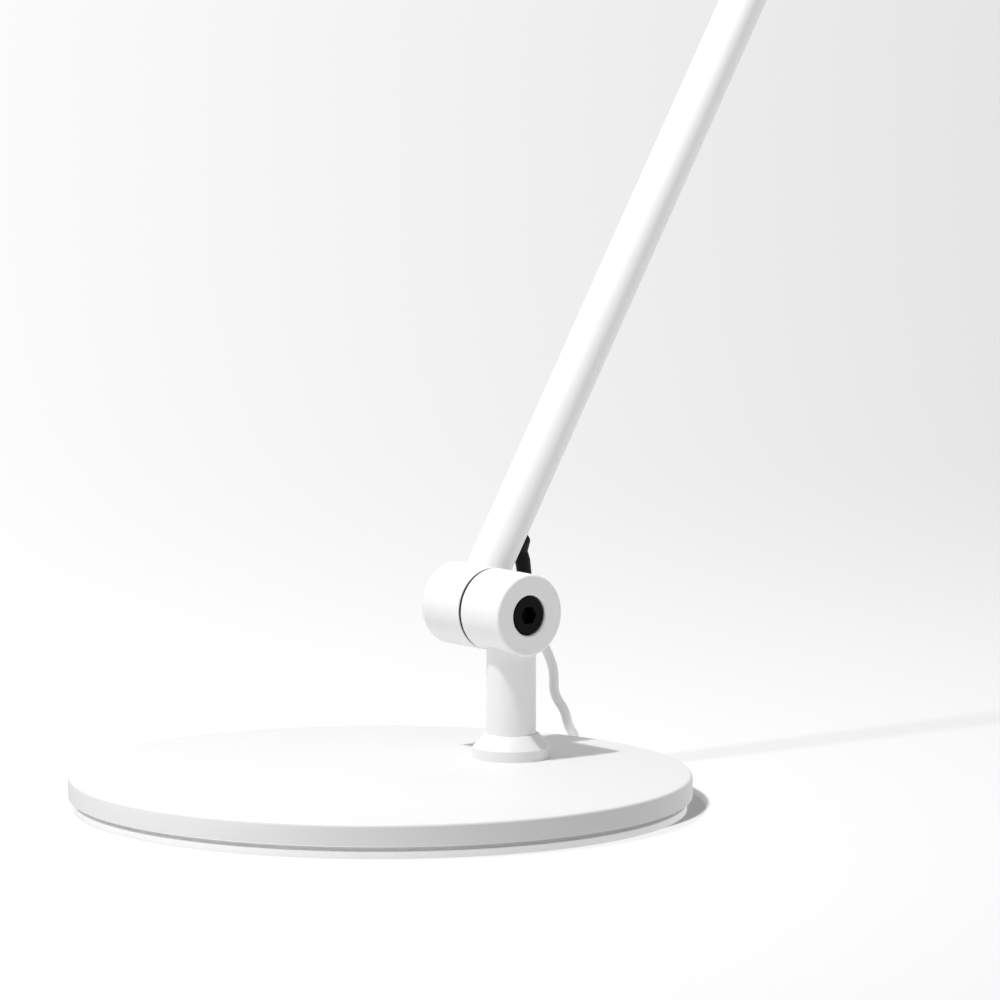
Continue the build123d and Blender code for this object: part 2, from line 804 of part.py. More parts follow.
# Hank: two layers that spiral in and out again, with the climb along the middle run
runs_across = [-hank_outer, hank_outer, -hank_inner, hank_inner, -hank_inner, hank_outer, -hank_outer]
with BuildPart() as lead_hank:
    with BuildLine() as path:
        height = hank_low
        side = 1
        here = hank_point(side * hank_run / 2, runs_across[0], height)
        for count, across in enumerate(runs_across):
            heading = hank_right * -side
            if count == len(runs_across) // 2:
                middle = hank_point(0, across, (hank_low + hank_high) / 2)
                height = hank_high
                there = hank_point(-side * hank_run / 2, across, height)
                rise = TangentArc(here, middle, tangent=heading)
                run = TangentArc(rise @ 1, there, tangent=rise % 1)
            else:
                there = hank_point(-side * hank_run / 2, across, height)
                run = Line(here, there)
            here = run @ 1
            side = -side
            if count + 1 < len(runs_across):
                following = runs_across[count + 1]
                outward = side * (hank_run / 2 + abs(following - across) / 2)
                bend = hank_point(outward, (across + following) / 2, height)
                there = hank_point(side * hank_run / 2, following, height)
                fold = ThreePointArc(here, bend, there)
                here = fold @ 1
    hank_way = path.wire()
    with BuildSketch(Plane(origin=hank_way @ 0, z_dir=hank_way % 0)):
        Circle(lead_diameter / 2)
    sweep(path=hank_way)
hank_steps = 800
hank_points = [hank_way.position_at(step / hank_steps) for step in range(hank_steps + 1)]
near_steps = int(2 * hank_pitch / (hank_way.length / hank_steps))
least = min(
    (one - other).length
    for count, one in enumerate(hank_points)
    for other in hank_points[count + near_steps :]
)
print("hank length", round(hank_way.length, 1), "least gap to itself", round(least - lead_diameter, 2))
save(lead_hank, "lead_hank")

# Tie round the middle of the hank
tie_half = hank_outer + lead_diameter / 2 + tie_gap
tie_bottom = hank_low - lead_diameter / 2 - tie_gap
tie_top = hank_high + lead_diameter / 2 + tie_gap
with BuildPart() as hank_tie:
    with BuildSketch(Plane(origin=hank_right * (-tie_width / 2), x_dir=hank_away, z_dir=hank_right)):
        with Locations((hank_depth, (tie_bottom + tie_top) / 2)):
            RectangleRounded(
                2 * (tie_half + tie_thickness),
                tie_top - tie_bottom + 2 * tie_thickness,
                lead_diameter / 2 + tie_thickness,
            )
            RectangleRounded(2 * tie_half, tie_top - tie_bottom, lead_diameter / 2, mode=Mode.SUBTRACT)
    extrude(amount=tie_width)
save(hank_tie, "hank_tie")

# Low-voltage plug at the end of the lead, lying on the table beside the base's rear edge
plug_total = plug_relief_length + plug_length + plug_tip_length
plug_reach = base_diameter / 2 + plug_rim_gap + plug_diameter / 2
plug_away = sqrt(plug_reach**2 + (plug_total / 2) ** 2 - plug_right**2)
plug_back = rear_point(plug_right, plug_away, plug_diameter / 2)
plug_turn = atan2(plug_right, plug_away) - atan(plug_total / 2 / plug_reach)
plug_heading = -hank_right * cos(plug_turn) + hank_away * sin(plug_turn)
hank_end = hank_way @ 1
tail_route = [
    hank_end,
    hank_end - hank_right * plug_lead_in,
    plug_back - plug_heading * plug_lead_in,
    plug_back,
]
save(lead_tube(tail_route), "lead_tail")

plug_up = Vector(0, 0, 1)
with BuildPart() as plug_body:
    with BuildSketch(Plane(origin=plug_back, x_dir=plug_heading, z_dir=plug_heading.cross(plug_up))):
        with BuildLine():
            Polyline(
                (0, 0),
                (0, lead_diameter / 2 + tie_thickness),
                (plug_relief_length, plug_relief_diameter / 2),
                (plug_relief_length, plug_diameter / 2),
                (plug_relief_length + plug_length, plug_diameter / 2),
                (plug_relief_length + plug_length, 0),
                close=True,
            )
        make_face()
    revolve(axis=Axis(plug_back, plug_heading))
save(plug_body, "plug_body")

plug_nose = plug_back + plug_heading * (plug_relief_length + plug_length)
with BuildPart() as plug_tip:
    with BuildSketch(Plane(origin=plug_nose, z_dir=plug_heading)):
        Circle(plug_tip_diameter / 2)
        Circle(plug_tip_bore / 2, mode=Mode.SUBTRACT)
    extrude(amount=plug_tip_length)
save(plug_tip, "plug_tip")
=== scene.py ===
# %% [markdown]
# A desk lamp is dressed here around its CAD solids. The solids are the fixed frame: they keep the
# sizes and the joints, and this lesson adds what they lack, which is finish, lead and light.
# The frame is loaded first.

# %% Frame
import json
from math import atan, atan2, cos, pi, radians, sin, sqrt

import bpy
import numpy as np
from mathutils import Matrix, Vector


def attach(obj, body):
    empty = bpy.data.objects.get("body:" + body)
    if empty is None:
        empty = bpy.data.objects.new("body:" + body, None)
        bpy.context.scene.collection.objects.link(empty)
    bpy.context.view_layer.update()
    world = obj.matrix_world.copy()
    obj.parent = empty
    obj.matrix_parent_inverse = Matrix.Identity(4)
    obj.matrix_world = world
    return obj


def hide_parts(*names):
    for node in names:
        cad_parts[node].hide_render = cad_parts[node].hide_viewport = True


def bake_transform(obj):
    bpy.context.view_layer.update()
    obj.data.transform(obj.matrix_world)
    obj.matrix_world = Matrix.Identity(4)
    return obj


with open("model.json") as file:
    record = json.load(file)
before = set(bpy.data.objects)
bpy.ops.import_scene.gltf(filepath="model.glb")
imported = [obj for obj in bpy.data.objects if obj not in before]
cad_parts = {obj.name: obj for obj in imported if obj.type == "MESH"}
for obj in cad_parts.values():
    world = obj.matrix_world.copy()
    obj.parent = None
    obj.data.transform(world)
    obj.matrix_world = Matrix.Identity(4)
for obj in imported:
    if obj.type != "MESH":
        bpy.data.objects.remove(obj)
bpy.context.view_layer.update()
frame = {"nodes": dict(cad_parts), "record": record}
MM = 0.001

# %% [markdown]
# The photograph looks down on the base by a few degrees from the lamp's right front, from so far
# away that the base's rim is close to a true ellipse. A long lens five metres off gives that
# flat perspective. The lens is worked out from how many pixels one metre takes at the base.

# %% Camera
view_turn = radians(51.169)
view_drop = radians(8.063)
view_distance = 5.0
pixels_per_metre = 2783.67
frame_pixels = 1000
aim_right = 43.065 * MM
aim_height = 112.192 * MM

view_right = Vector((cos(view_turn), sin(view_turn), 0))
view_level = Vector((-sin(view_turn), cos(view_turn), 0))
view_ahead = Vector((-sin(view_turn) * cos(view_drop), cos(view_turn) * cos(view_drop),
                     -sin(view_drop)))
camera_data = bpy.data.cameras.new("photo_camera")
camera_data.sensor_width = 36.0
camera_data.lens = camera_data.sensor_width * pixels_per_metre * view_distance / frame_pixels
camera_data.clip_end = 200.0
camera = bpy.data.objects.new("photo_camera", camera_data)
camera.location = view_right * aim_right + Vector((0, 0, aim_height)) - view_ahead * view_distance
camera.rotation_euler = view_ahead.to_track_quat("-Z", "Y").to_euler()
bpy.context.scene.collection.objects.link(camera)
bpy.context.scene.camera = camera
print("lens", round(camera_data.lens, 1), "mm at", [round(value, 3) for value in camera.location])

# %% [markdown]
# The lead is one soft line: down from the relief on the arm, over the rear rim, into a tied hank
# behind the base, and out to its plug. Its drop is set by a few bends. Each is given by its bearing
# from the rear, its distance beyond the rim and its height, because the rim is what it has to clear.

# %% Drop of the lead
lead_radius = 1.75 * MM
base_radius = 112.5 * MM
relief_points = MM * np.array([(-22.8, 85.79, 70.08), (-22.8, 87.67, 58.22)])
lead_bends = np.array([
    (14.0, -12.4, 45.0),
    (13.6, -9.2, 37.0),
    (14.8, -6.9, 28.5),
    (14.3, -0.8, 21.5),
    (15.3, 3.4, 15.5),
    (16.2, 12.5, 8.0),
    (20.9, 17.2, 3.6),
])


def rim_point(bearing, beyond, height):
    """Points off the rim, from mm and degrees: (-sin b, cos b) * (rim + beyond), at a height."""
    turn, reach = np.radians(bearing), base_radius + MM * beyond
    return np.column_stack([-np.sin(turn) * reach, np.cos(turn) * reach, MM * height])


drop_points = np.concatenate([relief_points, rim_point(*lead_bends.T)])
print("drop", len(drop_points), "corners")

# %% [markdown]
# The rest of the lead is folded into a hank, as a packed lamp's lead is. Its runs lie in two layers,
# and one run climbs from the lower to the upper. A quadratic curve touches the middle of each side
# of its control polygon, so corners placed a little outside a fold's circle give the circle itself.

# %% Hank
hank_turn = radians(50.6)
hank_right = np.array([cos(hank_turn), sin(hank_turn), 0.0])
hank_away = np.array([-sin(hank_turn), cos(hank_turn), 0.0])
up = np.array([0.0, 0.0, 1.0])
hank_run = 60.0 * MM
hank_inner, hank_outer = 7.0 * MM, 10.92 * MM
hank_low, hank_high = 2.15 * MM, 6.07 * MM
hank_gap = 0.5 * MM
hank_depth = base_radius + hank_gap + lead_radius + hank_outer
hank_lead_in = 10.0 * MM
run_share, climb_share = 0.42, 0.12
fold_corners = 5
runs_across = [-hank_outer, hank_outer, -hank_inner, hank_inner, -hank_inner, hank_outer, -hank_outer]
climbing_run = 3


def hank_point(along, across, height):
    """Points from the hank's own directions: right * along + away * (depth + across), at a height."""
    along, across, height = np.broadcast_arrays(along, across, height)
    level = along[..., None] * hank_right + (hank_depth + across)[..., None] * hank_away
    return level + height[..., None] * up


def hank_fold(side, across, following, height):
    """Control corners of a half circle between two runs: radius r / cos(step / 2) at every half step."""
    step = pi / fold_corners
    angle = (np.arange(fold_corners) + 0.5) * step - pi / 2
    reach = abs(following - across) / 2 / cos(step / 2)
    swing = np.sign(following - across)
    along = side * (hank_run / 2 + reach * np.cos(angle))
    return hank_point(along, (across + following) / 2 + swing * reach * np.sin(angle), height)


run_ends = np.array([run_share, -run_share]) * hank_run
climb_ends = np.array([climb_share, -climb_share]) * hank_run
hank_points = [hank_point(hank_run / 2 + hank_lead_in, -hank_outer, hank_low)[None]]
side, height = 1, hank_low
for count, across in enumerate(runs_across):
    ends, heights = run_ends * side, np.array([height, height])
    if count == climbing_run:
        ends = np.concatenate([ends[:1], climb_ends * side, ends[1:]])
        heights = np.array([hank_low, hank_low, hank_high, hank_high])
        height = hank_high
    hank_points.append(hank_point(ends, across, heights))
    side = -side
    if count + 1 < len(runs_across):
        hank_points.append(hank_fold(side, across, runs_across[count + 1], height))
print("hank", len(runs_across), "runs of", round(hank_run / MM), "mm")

# %% [markdown]
# The tail leaves the last run and ends in the plug, which lies along the rim, where the base hides
# it. The plug's middle touches a circle just outside the rim. So a right triangle gives its place:
# the circle's radius and half of the plug's length are its two short sides.

# %% Tail
plug_radius = 4.5 * MM
plug_relief = 12.0 * MM
plug_body_length = 24.0 * MM
plug_tip_length = 9.5 * MM
plug_gap = 1.5 * MM
plug_right = -55.0 * MM
plug_run_in = 9.0 * MM
plug_total = plug_relief + plug_body_length + plug_tip_length
plug_reach = base_radius + plug_gap + plug_radius
plug_away = sqrt(plug_reach**2 + (plug_total / 2) ** 2 - plug_right**2)
plug_swing = atan2(plug_right, plug_away) - atan(plug_total / 2 / plug_reach)
plug_heading = -hank_right * cos(plug_swing) + hank_away * sin(plug_swing)
plug_back = hank_right * plug_right + hank_away * plug_away + up * plug_radius
hank_end = hank_point(-hank_run / 2, runs_across[-1], hank_high)
tail_points = np.array([hank_end - hank_right * plug_run_in, plug_back - plug_heading * plug_run_in,
                        plug_back])
print("plug's back end at", plug_back.round(4).tolist())

# %% [markdown]
# All these corners go into one NURBS curve, because it bends evenly where straight pieces would
# kink. Blender works out the points along it, and only those points are kept.

# %% Route of the lead
control = np.concatenate([drop_points, *hank_points, tail_points])
route = bpy.data.curves.new("lead_route", "CURVE")
route.dimensions = "3D"
route.resolution_u = 8
spline = route.splines.new("NURBS")
spline.points.add(len(control) - 1)
spline.points.foreach_set("co", np.column_stack([control, np.ones(len(control))]).ravel())
spline.order_u = 3
spline.use_endpoint_u = True
route_object = bpy.data.objects.new("lead_route", route)
bpy.context.scene.collection.objects.link(route_object)
bpy.context.view_layer.update()
drawn_route = route_object.evaluated_get(bpy.context.evaluated_depsgraph_get())
route_mesh = bpy.data.meshes.new_from_object(drawn_route)
line = np.empty(len(route_mesh.vertices) * 3)
route_mesh.vertices.foreach_get("co", line)
line = line.reshape(-1, 3)
bpy.data.objects.remove(route_object)


def path_length(path):
    """Length of a line of points: the sum of the distances from each to the next."""
    return float(np.linalg.norm(np.diff(path, axis=0), axis=1).sum())


print("lead route", len(control), "corners,", len(line), "points,", round(path_length(line), 3), "m")

# %% [markdown]
# The lead hangs between the arm and the base, so it has to give when the arm tilts and when the
# post swivels. It is cut into an upper length, a lower length and the rest. Each is a tube: a
# circle carried along the line. The upper and lower lengths span from one body to the next and stay put.

# %% Lead
sharp_corner = radians(50)
upper_end = 38.0 * MM


def mesh_piece(name, vertices, faces):
    """Object at the origin from an array of points and a list of faces, smooth but for sharp corners."""
    mesh = bpy.data.meshes.new(name)
    mesh.from_pydata(vertices.tolist(), [], faces)
    mesh.set_sharp_from_angle(angle=sharp_corner)
    made = bpy.data.objects.new(name, mesh)
    bpy.context.scene.collection.objects.link(made)
    return made


def grid_faces(rows, columns, ring=False):
    """Quads of a grid whose columns close on themselves: a ring's rows close too, others are capped."""
    row_starts = np.arange(rows if ring else rows - 1)
    row, column = np.meshgrid(row_starts, np.arange(columns), indexing="ij")
    after, beyond = (column + 1) % columns, (row + 1) % rows
    quads = np.stack([row * columns + column, row * columns + after,
                      beyond * columns + after, beyond * columns + column], -1)
    first_cap = list(range(columns))[::-1]
    last_cap = list(range((rows - 1) * columns, rows * columns))
    return quads.reshape(-1, 4).tolist() + ([] if ring else [first_cap, last_cap])


def tube(name, path, radius, around=16):
    """Round tube: path(u) + radius * (cos v * side(u) + sin v * normal(u)), side square to a guide."""
    tangent = np.gradient(path, axis=0)
    tangent /= np.linalg.norm(tangent, axis=1, keepdims=True)
    steep = tangent[:, 2:3] ** 2
    guide = steep * np.array([1.0, 0.0, 0.0]) + (1 - steep) * up
    sideways = np.cross(guide, tangent)
    sideways /= np.linalg.norm(sideways, axis=1, keepdims=True)
    normal = np.cross(tangent, sideways)
    angle = (np.arange(around) * 2 * pi / around)[None, :, None]
    ring = np.cos(angle) * sideways[:, None] + np.sin(angle) * normal[:, None]
    points = path[:, None] + radius * ring
    return mesh_piece(name, points.reshape(-1, 3), grid_faces(len(path), around))


hank_entry = hank_point(hank_run / 2, -hank_outer, hank_low)
first_cut = int(np.argmax(line[:, 2] < upper_end))
second_cut = int(np.argmin(np.linalg.norm(line - hank_entry, axis=1)))
lead_paths = {
    "lead_upper_run": line[: first_cut + 1],
    "lead_lower_run": line[first_cut : second_cut + 1],
    "lead_hank_and_tail": line[second_cut:],
}
leads = {name: tube(name, path, lead_radius) for name, path in lead_paths.items()}
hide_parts("lead_drop")
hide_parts("lead_hank", "lead_tail")
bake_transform(leads["lead_upper_run"])
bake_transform(leads["lead_lower_run"])
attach(leads["lead_hank_and_tail"], "base")

# %% [markdown]
# The hank is held by a hook-and-loop strap. The real one is a woven strip wound once round the
# bundle, its end pressed down on its start. The strip is a rounded rectangle walked by distance,
# a little further than once round, and lifted by its own thickness where it overlaps.

# %% Strap
strap_width = 9.0 * MM
strap_thickness = 0.3 * MM
strap_overlap = 10.0 * MM
strap_ramp = 5.0 * MM
strap_lift = strap_thickness * 1.05
strap_slack = 0.08 * MM
strap_half = hank_outer + lead_radius + strap_slack
strap_rise = (hank_high - hank_low) / 2 + lead_radius + strap_slack
strap_round = lead_radius + strap_slack
strap_centre = (hank_high + hank_low) / 2
corner_steps = 9
strap_steps = 260


def strap_loop(distance):
    """Across and height on a rounded rectangle, a distance from the middle of its top, and its length."""
    corner = np.radians(np.linspace(0, 90, corner_steps))
    angle = np.concatenate([corner, corner + pi / 2, corner + pi, corner + 3 * pi / 2])
    sign_across = np.repeat([1, -1, -1, 1], corner_steps)
    sign_height = np.repeat([1, 1, -1, -1], corner_steps)
    across = sign_across * (strap_half - strap_round) + strap_round * np.cos(angle)
    rise = sign_height * (strap_rise - strap_round) + strap_round * np.sin(angle)
    start = np.array([[0.0, strap_rise]])
    corners = np.roll(np.column_stack([across, rise]), -corner_steps, axis=0)
    outline = np.concatenate([start, corners, start])
    walked = np.concatenate([[0], np.cumsum(np.linalg.norm(np.diff(outline, axis=0), axis=1))])
    at = np.mod(distance, walked[-1])
    place = [np.interp(at, walked, outline[:, 0]), np.interp(at, walked, outline[:, 1])]
    return np.column_stack(place), walked[-1]


def strap_points(walk, once_round):
    """Four edges of a strip: loop(w) + outward(w) * (lift(w) + 0 or thickness), at both sides."""
    middle, _ = strap_loop(walk)
    direction = np.gradient(middle, axis=0)
    direction /= np.linalg.norm(direction, axis=1, keepdims=True)
    outward = np.column_stack([direction[:, 1], -direction[:, 0]])
    outward *= np.sign((outward * middle).sum(1, keepdims=True))
    ramp = np.clip((walk - once_round + strap_ramp) / strap_ramp, 0, 1)
    lift = strap_lift * ramp**2 * (3 - 2 * ramp)
    inner = middle + outward * lift[:, None]
    outer = inner + outward * strap_thickness
    section = np.stack([inner, inner, outer, outer], axis=1)
    along = strap_width / 2 * np.array([-1, 1, 1, -1])
    return hank_point(along[None, :], section[..., 0], strap_centre + section[..., 1])


_, once_round = strap_loop(np.zeros(1))
walk = np.linspace(0, once_round + strap_overlap, strap_steps)
strap_grid = strap_points(walk, once_round)
strap = mesh_piece("hank_strap", strap_grid.reshape(-1, 3), grid_faces(*strap_grid.shape[:2]))
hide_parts("hank_tie")
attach(strap, "base")
print("strap", round((once_round + strap_overlap) / MM, 1), "mm long")

# %% [markdown]
# A small moulded plug ends the lead. Its sleeve has grooves that let it flex, and its grip has
# shallow flutes for the fingers. A turned shape suits it: one profile of radius against length,
# spun about the plug's own axis, with the flutes taken off as a wave round the grip.

# %% Plug
plug_length = plug_relief + plug_body_length
sleeve_end, nose_start = 12.0, 35.4
nose_steps = [35.7, 35.9, 36.0]
sleeve_thin, sleeve_thick, grip_thick = 2.05, 3.2, 4.5
shoulder_length = 0.8
nose_round = 0.6
groove_start, groove_end = 1.6, 11.0
groove_depth, groove_pitch, groove_shift, groove_level = 0.45, 2.4, 1.2, 0.35
flute_start, flute_end, flute_fade = 16.0, 31.0, 2.0
flute_depth, flute_count = 0.28, 18


def plug_profile(along):
    """Radius in mm along the plug: a cone less its grooves, then a grip with a shoulder and a nose."""
    sleeve = sleeve_thin + (sleeve_thick - sleeve_thin) * along / sleeve_end
    wave = np.sin(2 * pi * (along - groove_shift) / groove_pitch) > groove_level
    grooves = groove_depth * (wave & (along > groove_start) & (along < groove_end))
    nose = np.clip(along - nose_start, 0, None) / nose_round
    shoulder = np.clip((along - sleeve_end) / shoulder_length, 0, 1) ** 0.5
    grip = np.minimum(grip_thick - nose_round * nose**2,
                      sleeve_thick + (grip_thick - sleeve_thick) * shoulder)
    return np.where(along <= sleeve_end, sleeve - grooves, grip)


def plug_points(around=72):
    """Turned shape: back + t * heading + (radius(t) - flutes(t, v)) * (cos v * side + sin v * up)."""
    along = np.concatenate([[0.0], np.linspace(0.02, sleeve_end, 72),
                            np.linspace(sleeve_end + 0.02, nose_start, 70), nose_steps])
    angle = np.arange(around) * 2 * pi / around
    fluted = (np.clip((along - flute_start) / flute_fade, 0, 1)
              * np.clip((flute_end - along) / flute_fade, 0, 1))
    flutes = flute_depth * fluted[:, None] * np.clip(np.cos(angle * flute_count), 0, 1)
    reach = MM * (plug_profile(along)[:, None] - flutes)
    spokes = np.cos(angle)[:, None] * np.cross(up, plug_heading) + np.sin(angle)[:, None] * up
    axis = plug_back + MM * along[:, None] * plug_heading
    return axis[:, None] + reach[..., None] * spokes


plug_grid = plug_points()
plug = mesh_piece("plug_grip", plug_grid.reshape(-1, 3), grid_faces(*plug_grid.shape[:2]))
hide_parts("plug_body")
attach(plug, "base")
print("plug", round(plug_length / MM, 1), "mm long")

# %% [markdown]

# %% [markdown]
# The base is a steel disc whose rounded edges were turned on a lathe and catch a fine line of light.
# The solid's flat facets break that line up, so the disc is drawn again in finer steps. Its hole for
# the post sits off the middle, so it can't simply be spun: it is a stack of circles whose centre
# slides from the hole to the middle of the disc while their radius grows.

# %% Base disc
disc_low, disc_top = 4.4 * MM, 12.6 * MM
disc_low_round, disc_top_round = 0.6 * MM, 1.2 * MM
post_setback = 60.5 * MM
post_hole = 11.05 * MM
nut_pocket = 16.3 * MM
nut_ceiling = disc_low + 4.0 * MM
flat_margin = 0.1 * MM
edge_steps = 12


def disc_points(around=720):
    """Circles (r cos v, centre + r sin v, height): underside, rim, top, hole and pocket in turn."""
    quarter = np.linspace(0, pi / 2, edge_steps)
    middle = np.zeros(edge_steps)
    low_edge = np.column_stack([middle, base_radius - disc_low_round * (1 - np.sin(quarter)),
                                disc_low + disc_low_round * (1 - np.cos(quarter))])
    top_edge = np.column_stack([middle, base_radius - disc_top_round * (1 - np.cos(quarter)),
                                disc_top - disc_top_round * (1 - np.sin(quarter))])
    circles = np.concatenate([
        [(0, base_radius - disc_low_round - flat_margin, disc_low)], low_edge, top_edge,
        [(0, base_radius - disc_top_round - flat_margin, disc_top), (post_setback, post_hole, disc_top),
         (post_setback, post_hole, nut_ceiling), (post_setback, nut_pocket, nut_ceiling),
         (post_setback, nut_pocket, disc_low)]])
    centre, reach, height = (circles[:, place, None] for place in range(3))
    angle = np.arange(around) * 2 * pi / around
    return np.stack([reach * np.cos(angle), centre + reach * np.sin(angle), height + 0 * angle], -1)


disc_grid = disc_points()
disc_faces = grid_faces(*disc_grid.shape[:2], ring=True)
disc = mesh_piece("base_disc_turned", disc_grid.reshape(-1, 3), disc_faces)
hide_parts("base_disc")
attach(disc, "base")
print("disc", len(disc.data.polygons), "faces")

# %% [markdown]
# Every finish starts from a real material. Two helpers serve them all: one turns a screen colour
# in hex into the linear values that the shader expects, and one adds a node with its settings,
# its values and its links. A finish then has soft patches of two near colours, a grain in relief
# and a roughness that follows the grain, each with a size in millimetres.

# %% Helpers for finishes
rough_swing = 0.06
patch_detail, grain_detail = 3.0, 2.0


def colour(code):
    """Linear colour from sRGB hex: c / 12.92 when dark, else ((c + 0.055) / 1.055) ** 2.4."""
    shade = np.array([int(code[place : place + 2], 16) for place in (1, 3, 5)]) / 255
    linear = np.where(shade <= 0.04045, shade / 12.92, ((shade + 0.055) / 1.055) ** 2.4)
    return (*linear.tolist(), 1.0)


def add(tree, kind, settings=None, values=None, links=None):
    """One node with its settings, its socket values and the sockets that feed it."""
    item = tree.nodes.new(kind)
    for name, value in (settings or {}).items():
        setattr(item, name, value)
    for name, value in (values or {}).items():
        item.inputs[name].default_value = value
    for name, socket in (links or {}).items():
        tree.links.new(socket, item.inputs[name])
    return item


def per_metre(size_mm):
    """Noise scale whose features are about size_mm across: one over the size in metres."""
    return 1.0 / (size_mm * MM)


def finish(name, light, dark, rough, grain_mm, bump_mm, patch_mm, shader=None):
    """Finish with two near colours in soft patches, a grain in relief and a roughness that follows it."""
    made = bpy.data.materials.new(name)
    made.use_nodes = True
    tree = made.node_tree
    tree.nodes.clear()
    place = add(tree, "ShaderNodeTexCoord").outputs["Object"]
    patch = add(tree, "ShaderNodeTexNoise",
                values={"Scale": per_metre(patch_mm), "Detail": patch_detail}, links={"Vector": place})
    tint = add(tree, "ShaderNodeMix", {"data_type": "RGBA"}, {6: colour(dark), 7: colour(light)},
               {0: patch.outputs["Fac"]})
    grain = add(tree, "ShaderNodeTexNoise",
                values={"Scale": per_metre(grain_mm), "Detail": grain_detail}, links={"Vector": place})
    relief = add(tree, "ShaderNodeBump", values={"Strength": 1.0, "Distance": bump_mm * MM},
                 links={"Height": grain.outputs["Fac"]})
    gloss = add(tree, "ShaderNodeMapRange",
                values={"To Min": rough - rough_swing, "To Max": rough + rough_swing},
                links={"Value": grain.outputs["Fac"]})
    surface = add(tree, "ShaderNodeBsdfPrincipled", values=shader or {},
                  links={"Base Color": tint.outputs[2], "Roughness": gloss.outputs["Result"],
                         "Normal": relief.outputs["Normal"]})
    add(tree, "ShaderNodeOutputMaterial", links={"Surface": surface.outputs["BSDF"]})
    return made


print("white in linear values", colour("#FFFFFF"))

# %% [markdown]
# The lamp's metal is powder coated: polyester powder, sprayed dry and baked, flows into a skin
# with a faint orange peel about a millimetre across. The eye sees a soft white with a wide, dull
# highlight. Steel and aluminium pieces carry the same coat, so one finish serves both.

# %% Powder coat
powder_coat = finish("white_powder_coat", "#EDEDED", "#E9E9E9", rough=0.5, grain_mm=0.9, bump_mm=0.025,
                     patch_mm=45.0, shader={"Specular IOR Level": 0.35})
print("finish", powder_coat.name)

# %% [markdown]
# The small hardware differs piece by piece: black oxide on the socket screws, which drinks the light,
# zinc on the nuts and washers, which looks grey and satin, a bare casting for the heat sink, which is
# dull and sandy, and nickel on the plug's contact, which is warm and bright. The bare and plated ones
# are metallic in the shader, so their colour is that of the reflection.

# %% Hardware
metal = {"Metallic": 1.0}
black_oxide = finish("black_oxide_steel", "#060606", "#030303", rough=0.5, grain_mm=0.35, bump_mm=0.006,
                     patch_mm=4.0, shader={"Specular IOR Level": 0.1})
zinc_plate = finish("zinc_plated_steel", "#C9CBCF", "#B4B7BD", rough=0.34, grain_mm=0.5, bump_mm=0.004,
                    patch_mm=6.0, shader=metal)
bare_casting = finish("bare_cast_aluminium", "#C4C5C7", "#ABACB0", rough=0.5, grain_mm=0.6, bump_mm=0.02,
                      patch_mm=8.0, shader=metal)
nickel_plate = finish("nickel_plated_brass", "#D4D0C6", "#C3BFB6", rough=0.22, grain_mm=0.4,
                      bump_mm=0.002, patch_mm=4.0, shader=metal)
print("finishes", [made.name for made in (black_oxide, zinc_plate, bare_casting, nickel_plate)])

# %% [markdown]
# The pad under the base is foam rubber, open and matt. Its flange is given a faint glow of its own,
# painted light that brightens it as the glowing table under it would. The glow stops at the top of
# the flange, so the groove stays dark.

# %% Foam pad
flange_top, groove_height = 2.3 * MM, 2.7 * MM
flange_painted_glow = 0.18
foam_pad = finish("pale_foam_rubber", "#F3F3F3", "#E9E9E9", rough=0.85, grain_mm=0.7, bump_mm=0.05,
                  patch_mm=5.0, shader={"Emission Color": (1, 1, 1, 1)})
tree = foam_pad.node_tree
place = add(tree, "ShaderNodeTexCoord").outputs["Object"]
level = add(tree, "ShaderNodeSeparateXYZ", links={0: place})
# Painted light: the flange glows faintly up to its top and not at all at the groove.
glow = add(tree, "ShaderNodeMapRange", {},
           {"From Min": flange_top, "From Max": groove_height, "To Min": flange_painted_glow, "To Max": 0.0},
           {"Value": level.outputs["Z"]})
tree.links.new(glow.outputs["Result"], tree.nodes["Principled BSDF"].inputs["Emission Strength"])
print("finish", foam_pad.name)

# %% [markdown]
# The relief and the lead's sheath are soft extruded vinyl with a low sheen, the friction discs are
# pressed fibre, dull and dark, and the strap is woven and takes no highlight at all. Each grain is as
# coarse as that material's own.

# %% Soft finishes
dull = {"Specular IOR Level": 0.2}
black_vinyl = finish("black_soft_vinyl", "#0C0C0C", "#060606", rough=0.6, grain_mm=0.5, bump_mm=0.01,
                     patch_mm=5.0, shader=dull)
grey_vinyl = finish("grey_vinyl_sheath", "#E6E6E6", "#DEDEDE", rough=0.5, grain_mm=0.6, bump_mm=0.01,
                    patch_mm=12.0)
fibre = finish("pressed_fibre", "#1A1A1A", "#101010", rough=0.8, grain_mm=0.3, bump_mm=0.02,
               patch_mm=2.0, shader=dull)
woven_strap = finish("woven_grey_strap", "#5A5A5C", "#3C3C3E", rough=0.85, grain_mm=0.45, bump_mm=0.08,
                     patch_mm=1.0)
print("finishes", [made.name for made in (black_vinyl, grey_vinyl, fibre, woven_strap)])

# %% [markdown]
# The moulded plastics run from waxy acetal and etched black to the switch's polished grey. The
# diffuser is opal acrylic, which lets light sink in and looks milky. Behind it are the board's white
# solder mask and the yellow phosphor of the emitters.

